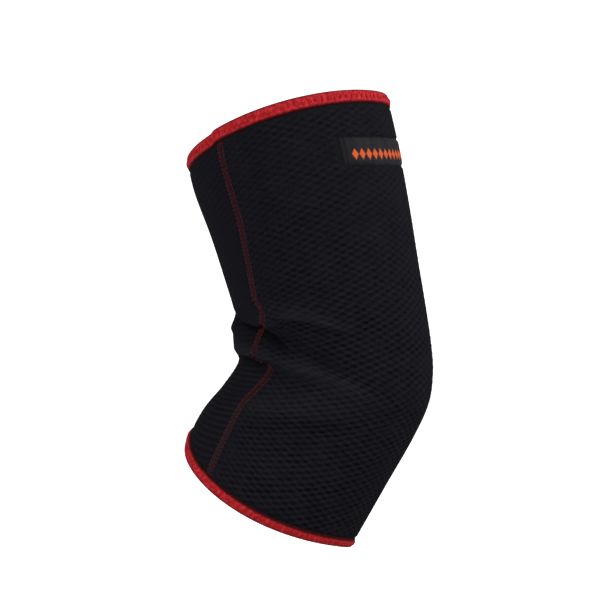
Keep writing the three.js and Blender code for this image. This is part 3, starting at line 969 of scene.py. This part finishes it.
def binding(name, width, row_at, flipped):
    """A tape round one rim and its stitches, spaced evenly along the stitch line."""
    stitch_inset = TAPE_NOSE + (width - TAPE_NOSE) * TAPE_STITCH_INSET
    fine = np.linspace(0, 360, FINE_ANGLES)
    steps = np.diff(off_skin(fine, row_at(fine, stitch_inset), TAPE_FACE), axis=0)
    length = np.concatenate([[0], np.cumsum(np.linalg.norm(steps, axis=1))]) / MM
    girth = length[-1]
    stitches = round(girth / TAPE_STITCH_PITCH)
    place = np.linspace(0, girth, stitches * FACETS_PER_STITCH + 1)[:-1]
    angle = np.interp(place, length, fine)
    inset, offset = tape_section(width)
    pitch = girth / stitches
    off_stitch = (np.mod(place + pitch / 2, pitch) - pitch / 2)[:, None]
    off_inset = inset - stitch_inset
    lean = off_stitch + off_inset / np.tan(TAPE_STITCH_SLANT) * (1 if flipped else -1)
    on_flange = np.arange(len(inset)) < TAPE_FLANGE_POINTS
    dent = on_flange * bell(lean, TAPE_DENT_HALF_WIDTH) * bell(off_inset, TAPE_DENT_HALF_HEIGHT)
    # Painted shade along the tape's inner edge by the cloth, on its rim and in the stitch dents.
    shade = on_flange * np.exp(-((width - inset) / TAPE_EDGE_SHADE_WIDTH) ** TAPE_EDGE_SHADE_POWER)
    shade = shade + TAPE_RIM_SHADE * bell(inset, TAPE_RIM_SHADE_WIDTH) + TAPE_DENT_SHADE * dent
    points = off_skin(angle[:, None], row_at(angle[:, None], inset), offset - TAPE_DENT * dent)
    section_steps = np.hypot(np.diff(inset, append=inset[0]), np.diff(offset, append=offset[0]))
    lengths = np.concatenate([[0], np.cumsum(section_steps)])
    tape = ring_piece(name, points, girth, lengths, flipped, shade, binding_tape)
    row = row_at(angle, stitch_inset)
    guide = off_skin(angle, row, TAPE_FACE - TAPE_DENT)
    sewing = stitched_piece(name + "_stitches", running_tree, guide, {"out": skin_normal(angle, row)}, True, {
        "Stitch Count": stitches,
        "Stitch Length": TAPE_STITCH_LENGTH * MM,
        "Thread Radius": TAPE_THREAD_RADIUS * MM,
        "Slant": TAPE_STITCH_SLANT,
        "Lift": TAPE_STITCH_LIFT * MM,
        "Thread": tape_thread,
    })
    for piece in (tape, sewing):
        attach(piece, "root")
    return tape, sewing


for node, width, row_at, flipped, flat in (
        ("top_binding", TOP_TAPE_WIDTH, row_from_top, False, TOP_TAPE_FLAT),
        ("bottom_binding", BOTTOM_TAPE_WIDTH, row_from_bottom, True, BOTTOM_TAPE_FLAT)):
    tape, sewing = binding("red_" + node, width, row_at, flipped)
    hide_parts(node)

# Label
# A charcoal patch of tightly woven satin, sewn flat on the main panel below the thigh binding with small
# stitches over its edges. A plain row of orange lozenges is woven in along its middle.

LABEL_SEAT = 0.05
LABEL_THICKNESS = 0.7
LABEL_EDGE_THICKNESS = 0.2
LABEL_EDGE_ROUND = 1.6
LABEL_COLUMNS = 240
LABEL_ROWS = 45
LABEL_LENGTH = 80.0
LABEL_GROOVE_INSET = 2.6
LABEL_GROOVE_DEPTH = 0.35
LABEL_GROOVE_WIDTH = 0.6
LABEL_RIPPLE = 0.12
LABEL_RIPPLE_PITCH = 3.1
LABEL_RIPPLE_REACH = 4.0
LABEL_STITCH_PITCH = 1.7
LABEL_STITCH_LENGTH = 1.9
LABEL_THREAD_RADIUS = 0.22
LABEL_STITCH_SLANT = 1.45
LOZENGE_PITCH = 4.8
LOZENGE_MIDDLE = 10.4
LOZENGE_HALF_HEIGHT = 3.7
LOZENGE_MARGIN = 6.0
LOZENGE_EDGE = (0.8, 0.95)
LOZENGE_RISE = 0.12
LABEL_GREY_FROM = 4.0
LABEL_GREY_FULL = 14.0
LABEL_BASE_REACH = 24.0
LABEL_BASE_DARK_FROM = 11.5
LABEL_DARKENING = 0.5
LABEL_LIGHT = (0.024, 0.0225, 0.0265, 1)
LABEL_DARK = (0.009, 0.0085, 0.0105, 1)
LABEL_ORANGE = (0.66, 0.11, 0.03, 1)
LABEL_THREAD_LIGHT = (0.014, 0.0135, 0.0165, 1)
LABEL_THREAD_DARK = (0.006, 0.006, 0.008, 1)
SATIN_PITCH = 0.55
SATIN_SLOPE = 0.6
SATIN_RELIEF = 0.25
# Painted sheen of the satin, in long streaks:
SHEEN_STREAK_STRETCH = 0.12
TONE_OF_SATIN = 0.3
LABEL_TONES = (0.32, 0.68)


def label_material():
    """Woven satin with fine slanting floats, and long streaks of painted sheen. The mesh says where the
    orange yarn comes to the face.
    """
    material, add = new_material("charcoal woven label", roughness=0.6, specular=0.08)
    place, across, along = cloth_place(add)
    floats = ((along * SATIN_SLOPE + across) * (2 * np.pi / SATIN_PITCH)).maths("SINE")
    weave = floats * SATIN_RELIEF + noise(place, scale=1.8, detail=3.0)
    # Long streaks across the satin paint its sheen into the tone.
    drawn = add("ShaderNodeCombineXYZ", {0: across, 1: along * SHEEN_STREAK_STRETCH})
    sheen_streaks = noise(drawn, scale=0.3, detail=2.0)
    tone = stretched(weave * TONE_OF_SATIN + sheen_streaks * (1 - TONE_OF_SATIN), *LABEL_TONES)
    colour = mixed(tone - told(add, "dark"), LABEL_DARK, LABEL_LIGHT)
    colour = mixed(told(add, "orange"), colour, LABEL_ORANGE)
    return finish_cloth(material, colour, weave, strength=0.3, depth=0.2)


def border(grid):
    """What a grid holds at its edge, once round."""
    return np.concatenate([grid[0, :-1], grid[:-1, -1], grid[-1, :0:-1], grid[:0:-1, 0]])


share = np.linspace(0, 1, LABEL_COLUMNS + 1)[None, :]
down = np.linspace(0, LABEL_HEIGHT, LABEL_ROWS + 1)[:, None]
angle = LABEL_END_ANGLE + (LABEL_START_ANGLE - LABEL_END_ANGLE) * share + down * 0
top_row = label_top(share) + down * 0
row = top_row + down / row_length(angle, top_row, LABEL_ROW_STEP)
from_start = (1 - share) * LABEL_LENGTH + down * 0
from_end = LABEL_LENGTH - from_start
from_side = np.minimum(np.minimum(from_start, from_end), np.minimum(down, LABEL_HEIGHT - down))
rounding = np.sqrt(1 - (1 - np.clip(from_side / LABEL_EDGE_ROUND, 0, 1)) ** 2)
height = LABEL_EDGE_THICKNESS + (LABEL_THICKNESS - LABEL_EDGE_THICKNESS) * rounding
height = height - LABEL_GROOVE_DEPTH * bell(from_start - LABEL_GROOVE_INSET, LABEL_GROOVE_WIDTH)
ripple = np.sin(2 * np.pi * from_start / LABEL_RIPPLE_PITCH + np.sin(from_start / LABEL_RIPPLE_REACH))
height = height + LABEL_RIPPLE * rounding * ripple * np.exp(-down / LABEL_RIPPLE_REACH)
off_lozenge = np.abs(np.mod(from_start - LOZENGE_MARGIN, LOZENGE_PITCH) / LOZENGE_PITCH - 0.5) * 2
off_middle = np.abs(down - LOZENGE_MIDDLE) / LOZENGE_HALF_HEIGHT
orange = 1 - blend(off_lozenge + off_middle, *LOZENGE_EDGE)
orange = orange * (from_start > LOZENGE_MARGIN) * (from_end > LOZENGE_MARGIN)
dark_start = 1 - blend(from_start, LABEL_GREY_FROM, LABEL_GREY_FULL)
dark_base = 1 - blend(from_start, LABEL_GREY_FULL, LABEL_BASE_REACH)
dark_base = dark_base * blend(down, LABEL_BASE_DARK_FROM, LABEL_HEIGHT)
seat = LABEL_SEAT - label_dip(angle, row)
outer = off_skin(angle, row, seat + height + LOZENGE_RISE * orange)
inner = off_skin(angle, row, seat)[::INNER_STEP, ::INNER_STEP]
label = wall_piece("woven_label", outer, inner, np.stack([from_start, down + from_start * 0], axis=-1),
                   {"orange": orange, "dark": LABEL_DARKENING * np.maximum(dark_start, dark_base)})
label.data.materials.append(label_material())
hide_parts("label")
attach(label, "root")

edge = border(outer)
label_thread = thread_material("charcoal label thread", LABEL_THREAD_LIGHT, LABEL_THREAD_DARK, roughness=0.6)
label_stitches = stitched_piece(
    "label_stitches", running_tree, edge, {"out": border(skin_normal(angle, row))}, True,
    {
        "Stitch Count": round(line_length(edge) / LABEL_STITCH_PITCH),
        "Stitch Length": LABEL_STITCH_LENGTH * MM,
        "Thread Radius": LABEL_THREAD_RADIUS * MM,
        "Slant": LABEL_STITCH_SLANT,
        "Lift": 0.0,
        "Thread": label_thread,
    })
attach(label_stitches, "root")

# Studio
# A white floor well below the sleeve and a white backdrop all round it, which only the camera sees. A soft
# light comes from all sides, most from below, with a key light from the upper right, a fill light from the
# left and a weaker one from the right.

FLOOR_HEIGHT = -0.26
FLOOR_RADIUS = 5.0
BACKDROP_HEIGHT = 4.0
BACKDROP_SIDES = 64
PAPER_WHITE = (0.9, 0.9, 0.9, 1)
PAPER_GLOW = (1, 1, 1, 1)
FLOOR_GLOW = 0.95
BACKDROP_GLOW = 1.1
SKY_LIGHT = (0.3, 0.3, 0.3, 1)
GROUND_LIGHT = (0.42, 0.42, 0.42, 1)
HORIZON = (-0.6, 0.6)
SURROUND_STRENGTH = 1.0
LIGHT_SIZE = 0.6
LIGHTS = {
    "key": {"place": (0.7, -0.6, 0.85), "watts": 8.4},
    "fill": {"place": (-0.85, -0.55, 0.05), "watts": 4.2},
    "side": {"place": (0.9, -0.3, 0.2), "watts": 2.5},
}
CAMERA_PLACE = (-0.0288, -0.5, 0.04224)
CAMERA_LENS = 46.875
CAMERA_SENSOR = 36.0

turn = np.linspace(0, 2 * np.pi, BACKDROP_SIDES + 1)[:-1]
rim = np.stack([FLOOR_RADIUS * np.cos(turn), FLOOR_RADIUS * np.sin(turn)], axis=-1)
low = [(x, y, FLOOR_HEIGHT) for x, y in rim]
high = [(x, y, BACKDROP_HEIGHT) for x, y in rim]
around = [(k, (k + 1) % BACKDROP_SIDES) for k in range(BACKDROP_SIDES)]
walls = [(k, k + BACKDROP_SIDES, n + BACKDROP_SIDES, n) for k, n in around]
lid = [tuple(range(2 * BACKDROP_SIDES - 1, BACKDROP_SIDES - 1, -1))]
for name, points, faces, glow in (
        ("floor", low, [tuple(range(BACKDROP_SIDES))], FLOOR_GLOW),
        ("backdrop", low + high, walls + lid, BACKDROP_GLOW)):
    paper, _ = new_material("white " + name, roughness=0.95, specular=0.5)
    shader = paper.node_tree.nodes["Principled BSDF"]
    shader.inputs["Base Color"].default_value = PAPER_WHITE
    shader.inputs["Emission Color"].default_value = PAPER_GLOW
    shader.inputs["Emission Strength"].default_value = glow
    mesh = bpy.data.meshes.new(name)
    mesh.from_pydata(points, [], faces)
    mesh.materials.append(paper)
    stage_piece = placed(name, mesh)
    stage_piece.visible_diffuse = False
    stage_piece.visible_glossy = False
    stage_piece.visible_shadow = False

surround = bpy.data.worlds.new("soft light")
surround.use_nodes = True
add = node_adder(surround.node_tree)
upward = add("ShaderNodeSeparateXYZ", {0: add("ShaderNodeTexCoord", out="Generated")}, "Z")
background = surround.node_tree.nodes["Background"]
light_colour = mixed(stretched(upward, *HORIZON), GROUND_LIGHT, SKY_LIGHT)
surround.node_tree.links.new(light_colour.socket, background.inputs["Color"])
background.inputs["Strength"].default_value = SURROUND_STRENGTH
bpy.context.scene.world = surround

for name, light in LIGHTS.items():
    panel = bpy.data.lights.new(name, "AREA")
    panel.size = LIGHT_SIZE
    panel.energy = light["watts"]
    lamp = placed(name, panel)
    lamp.location = light["place"]
    lamp.rotation_euler = (-lamp.location).to_track_quat("-Z", "Y").to_euler()

lens = bpy.data.cameras.new("camera")
lens.lens = CAMERA_LENS
lens.sensor_width = CAMERA_SENSOR
camera = placed("camera", lens)
camera.location = CAMERA_PLACE
camera.rotation_euler = (np.pi / 2, 0, 0)
bpy.context.scene.camera = camera
bpy.context.scene.view_settings.view_transform = "Standard"
